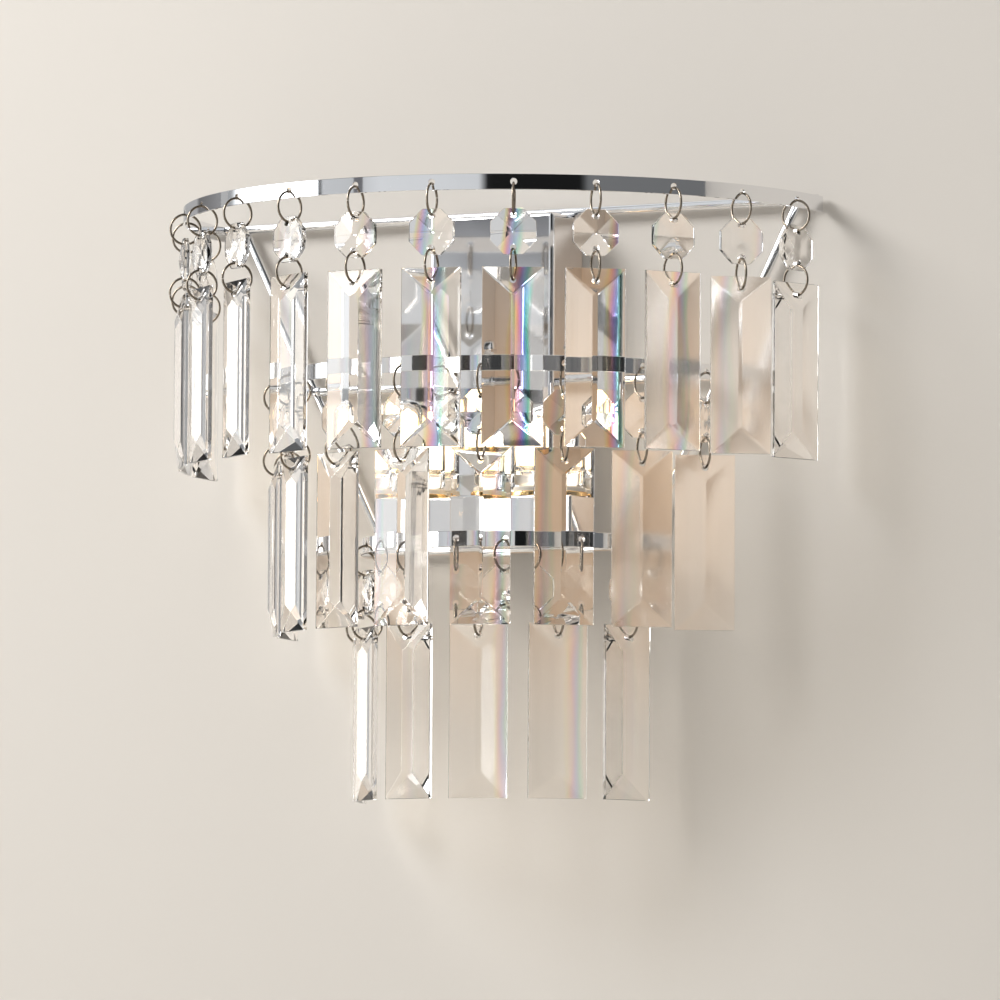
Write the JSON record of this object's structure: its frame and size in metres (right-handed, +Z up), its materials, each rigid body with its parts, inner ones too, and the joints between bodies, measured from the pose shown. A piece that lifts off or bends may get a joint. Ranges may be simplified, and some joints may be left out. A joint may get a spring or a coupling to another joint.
{
  "type": "acrylic droplet wall light",
  "caption": "Half round wall light: faceted clear droplets hang in tiers from chromed bands round upright capsule lamps on a slim wall box.",
  "frame": {"origin": "middle of the wall bracket's two fixing slots, on the wall", "axes": "+Z up, the light stands out from the wall towards -Y, +X to the viewer's right"},
  "size_m": [0.2898, 0.1467, 0.2464],
  "materials": {
    "chrome_plate": "polished",
    "zinc_steel": "bright zinc",
    "screw_brass": "plain",
    "gold_collar": "polished",
    "white_plastic": "moulded",
    "grommet_rubber": "matt",
    "white_ceramic": "unglazed ceramic",
    "lamp_glass": "clear",
    "lamp_metal": "plain",
    "clear_acrylic": "clear, polished"
  },
  "bodies": {
    "root": {"top_band": "chrome_plate", "middle_band": "chrome_plate", "bottom_band": "chrome_plate", "top_crossbar": "chrome_plate", "bottom_crossbar": "chrome_plate", "left_middle_crossbar": "chrome_plate", "right_middle_crossbar": "chrome_plate", "left_strut": "chrome_plate", "right_strut": "chrome_plate", "wall_box": "chrome_plate", "lamp_foot": "chrome_plate", "foot_plate": "chrome_plate", "cover_screws": "chrome_plate", "plate_screws": "chrome_plate", "foot_screws": "zinc_steel", "foot_nuts": "zinc_steel", "terminal_screws": "zinc_steel", "wall_bracket": "zinc_steel", "earth_post": "screw_brass", "holder_collars": "gold_collar", "terminal_block": "white_plastic", "cable_grommet": "grommet_rubber", "left_lampholder": "white_ceramic", "middle_lampholder": "white_ceramic", "right_lampholder": "white_ceramic"},
    "left_lamp": {"left_lamp_glass": "lamp_glass", "left_lamp_base": "lamp_metal"},
    "middle_lamp": {"middle_lamp_glass": "lamp_glass", "middle_lamp_base": "lamp_metal"},
    "right_lamp": {"right_lamp_glass": "lamp_glass", "right_lamp_base": "lamp_metal"},
    "top_droplet_01_chain": {"top_droplet_01": "clear_acrylic"},
    "top_droplet_02_chain": {"top_droplet_02": "clear_acrylic"},
    "top_droplet_03_chain": {"top_droplet_03": "clear_acrylic"},
    "top_droplet_04_chain": {"top_droplet_04": "clear_acrylic"},
    "top_droplet_05_chain": {"top_droplet_05": "clear_acrylic"},
    "top_droplet_06_chain": {"top_droplet_06": "clear_acrylic"},
    "top_droplet_07_chain": {"top_droplet_07": "clear_acrylic"},
    "top_droplet_08_chain": {"top_droplet_08": "clear_acrylic"},
    "top_droplet_09_chain": {"top_droplet_09": "clear_acrylic"},
    "top_droplet_10_chain": {"top_droplet_10": "clear_acrylic"},
    "top_droplet_11_chain": {"top_droplet_11": "clear_acrylic"},
    "top_droplet_12_chain": {"top_droplet_12": "clear_acrylic"},
    "top_droplet_13_chain": {"top_droplet_13": "clear_acrylic"},
    "middle_droplet_01_chain": {"middle_droplet_01": "clear_acrylic"},
    "middle_droplet_02_chain": {"middle_droplet_02": "clear_acrylic"},
    "middle_droplet_03_chain": {"middle_droplet_03": "clear_acrylic"},
    "middle_droplet_04_chain": {"middle_droplet_04": "clear_acrylic"},
    "middle_droplet_05_chain": {"middle_droplet_05": "clear_acrylic"},
    "middle_droplet_06_chain": {"middle_droplet_06": "clear_acrylic"},
    "middle_droplet_07_chain": {"middle_droplet_07": "clear_acrylic"},
    "middle_droplet_08_chain": {"middle_droplet_08": "clear_acrylic"},
    "middle_droplet_09_chain": {"middle_droplet_09": "clear_acrylic"},
    "bottom_droplet_01_chain": {"bottom_droplet_01": "clear_acrylic"},
    "bottom_droplet_02_chain": {"bottom_droplet_02": "clear_acrylic"},
    "bottom_droplet_03_chain": {"bottom_droplet_03": "clear_acrylic"},
    "bottom_droplet_04_chain": {"bottom_droplet_04": "clear_acrylic"},
    "bottom_droplet_05_chain": {"bottom_droplet_05": "clear_acrylic"},
    "bottom_droplet_06_chain": {"bottom_droplet_06": "clear_acrylic"}
  },
  "joints": [
    {"name": "left_lamp_pull", "type": "slide", "parent": "root", "child": "left_lamp", "axis": [0, 0, 1], "range_m": [0, 0.012]},
    {"name": "middle_lamp_pull", "type": "slide", "parent": "root", "child": "middle_lamp", "axis": [0, 0, 1], "range_m": [0, 0.012]},
    {"name": "right_lamp_pull", "type": "slide", "parent": "root", "child": "right_lamp", "axis": [0, 0, 1], "range_m": [0, 0.012]},
    {"name": "top_droplet_01_swing", "type": "hinge", "parent": "root", "child": "top_droplet_01_chain", "pos_m": [0.1382, -0.0224, 0.06705], "axis": [-0.16, -0.9871, 0], "range_deg": [-12, 25]},
    {"name": "top_droplet_02_swing", "type": "hinge", "parent": "root", "child": "top_droplet_02_chain", "pos_m": [0.12918, -0.05397, 0.06705], "axis": [-0.3855, -0.9227, 0], "range_deg": [-12, 25]},
    {"name": "top_droplet_03_swing", "type": "hinge", "parent": "root", "child": "top_droplet_03_chain", "pos_m": [0.11306, -0.08256, 0.06705], "axis": [-0.5897, -0.8076, 0], "range_deg": [-12, 25]},
    {"name": "top_droplet_04_swing", "type": "hinge", "parent": "root", "child": "top_droplet_04_chain", "pos_m": [0.09073, -0.10662, 0.06705], "axis": [-0.7616, -0.6481, 0], "range_deg": [-12, 25]},
    {"name": "top_droplet_05_swing", "type": "hinge", "parent": "root", "child": "top_droplet_05_chain", "pos_m": [0.06341, -0.12482, 0.06705], "axis": [-0.8916, -0.4529, 0], "range_deg": [-12, 25]},
    {"name": "top_droplet_06_swing", "type": "hinge", "parent": "root", "child": "top_droplet_06_chain", "pos_m": [0.0326, -0.13615, 0.06705], "axis": [-0.9725, -0.2329, 0], "range_deg": [-12, 25]},
    {"name": "top_droplet_07_swing", "type": "hinge", "parent": "root", "child": "top_droplet_07_chain", "pos_m": [0, -0.14, 0.06705], "axis": [-1, 0, 0], "range_deg": [-12, 25]},
    {"name": "top_droplet_08_swing", "type": "hinge", "parent": "root", "child": "top_droplet_08_chain", "pos_m": [-0.0326, -0.13615, 0.06705], "axis": [-0.9725, 0.2329, 0], "range_deg": [-12, 25]},
    {"name": "top_droplet_09_swing", "type": "hinge", "parent": "root", "child": "top_droplet_09_chain", "pos_m": [-0.06341, -0.12482, 0.06705], "axis": [-0.8916, 0.4529, 0], "range_deg": [-12, 25]},
    {"name": "top_droplet_10_swing", "type": "hinge", "parent": "root", "child": "top_droplet_10_chain", "pos_m": [-0.09073, -0.10662, 0.06705], "axis": [-0.7616, 0.6481, 0], "range_deg": [-12, 25]},
    {"name": "top_droplet_11_swing", "type": "hinge", "parent": "root", "child": "top_droplet_11_chain", "pos_m": [-0.11306, -0.08256, 0.06705], "axis": [-0.5897, 0.8076, 0], "range_deg": [-12, 25]},
    {"name": "top_droplet_12_swing", "type": "hinge", "parent": "root", "child": "top_droplet_12_chain", "pos_m": [-0.12918, -0.05397, 0.06705], "axis": [-0.3855, 0.9227, 0], "range_deg": [-12, 25]},
    {"name": "top_droplet_13_swing", "type": "hinge", "parent": "root", "child": "top_droplet_13_chain", "pos_m": [-0.1382, -0.0224, 0.06705], "axis": [-0.16, 0.9871, 0], "range_deg": [-12, 25]},
    {"name": "middle_droplet_01_swing", "type": "hinge", "parent": "root", "child": "middle_droplet_01_chain", "pos_m": [0.09748, -0.02231, -0.00145], "axis": [-0.2231, -0.9748, 0], "range_deg": [-9, 25]},
    {"name": "middle_droplet_02_swing", "type": "hinge", "parent": "root", "child": "middle_droplet_02_chain", "pos_m": [0.08465, -0.05324, -0.00145], "axis": [-0.5324, -0.8465, 0], "range_deg": [-9, 25]},
    {"name": "middle_droplet_03_swing", "type": "hinge", "parent": "root", "child": "middle_droplet_03_chain", "pos_m": [0.06233, -0.0782, -0.00145], "axis": [-0.782, -0.6233, 0], "range_deg": [-9, 25]},
    {"name": "middle_droplet_04_swing", "type": "hinge", "parent": "root", "child": "middle_droplet_04_chain", "pos_m": [0.03301, -0.09439, -0.00145], "axis": [-0.9439, -0.3301, 0], "range_deg": [-9, 25]},
    {"name": "middle_droplet_05_swing", "type": "hinge", "parent": "root", "child": "middle_droplet_05_chain", "pos_m": [0, -0.1, -0.00145], "axis": [-1, 0, 0], "range_deg": [-9, 25]},
    {"name": "middle_droplet_06_swing", "type": "hinge", "parent": "root", "child": "middle_droplet_06_chain", "pos_m": [-0.03301, -0.09439, -0.00145], "axis": [-0.9439, 0.3301, 0], "range_deg": [-9, 25]},
    {"name": "middle_droplet_07_swing", "type": "hinge", "parent": "root", "child": "middle_droplet_07_chain", "pos_m": [-0.06233, -0.0782, -0.00145], "axis": [-0.782, 0.6233, 0], "range_deg": [-9, 25]},
    {"name": "middle_droplet_08_swing", "type": "hinge", "parent": "root", "child": "middle_droplet_08_chain", "pos_m": [-0.08465, -0.05324, -0.00145], "axis": [-0.5324, 0.8465, 0], "range_deg": [-9, 25]},
    {"name": "middle_droplet_09_swing", "type": "hinge", "parent": "root", "child": "middle_droplet_09_chain", "pos_m": [-0.09748, -0.02231, -0.00145], "axis": [-0.2231, 0.9748, 0], "range_deg": [-9, 25]},
    {"name": "bottom_droplet_01_swing", "type": "hinge", "parent": "root", "child": "bottom_droplet_01_chain", "pos_m": [0.0622, -0.02207, -0.06995], "axis": [-0.3343, -0.9425, 0], "range_deg": [-6, 25]},
    {"name": "bottom_droplet_02_swing", "type": "hinge", "parent": "root", "child": "bottom_droplet_02_chain", "pos_m": [0.0444, -0.04883, -0.06995], "axis": [-0.7399, -0.6728, 0], "range_deg": [-6, 25]},
    {"name": "bottom_droplet_03_swing", "type": "hinge", "parent": "root", "child": "bottom_droplet_03_chain", "pos_m": [0.01607, -0.06401, -0.06995], "axis": [-0.9699, -0.2435, 0], "range_deg": [-6, 25]},
    {"name": "bottom_droplet_04_swing", "type": "hinge", "parent": "root", "child": "bottom_droplet_04_chain", "pos_m": [-0.01607, -0.06401, -0.06995], "axis": [-0.9699, 0.2435, 0], "range_deg": [-6, 25]},
    {"name": "bottom_droplet_05_swing", "type": "hinge", "parent": "root", "child": "bottom_droplet_05_chain", "pos_m": [-0.0444, -0.04883, -0.06995], "axis": [-0.7399, 0.6728, 0], "range_deg": [-6, 25]},
    {"name": "bottom_droplet_06_swing", "type": "hinge", "parent": "root", "child": "bottom_droplet_06_chain", "pos_m": [-0.0622, -0.02207, -0.06995], "axis": [-0.3343, 0.9425, 0], "range_deg": [-6, 25]}
  ]
}
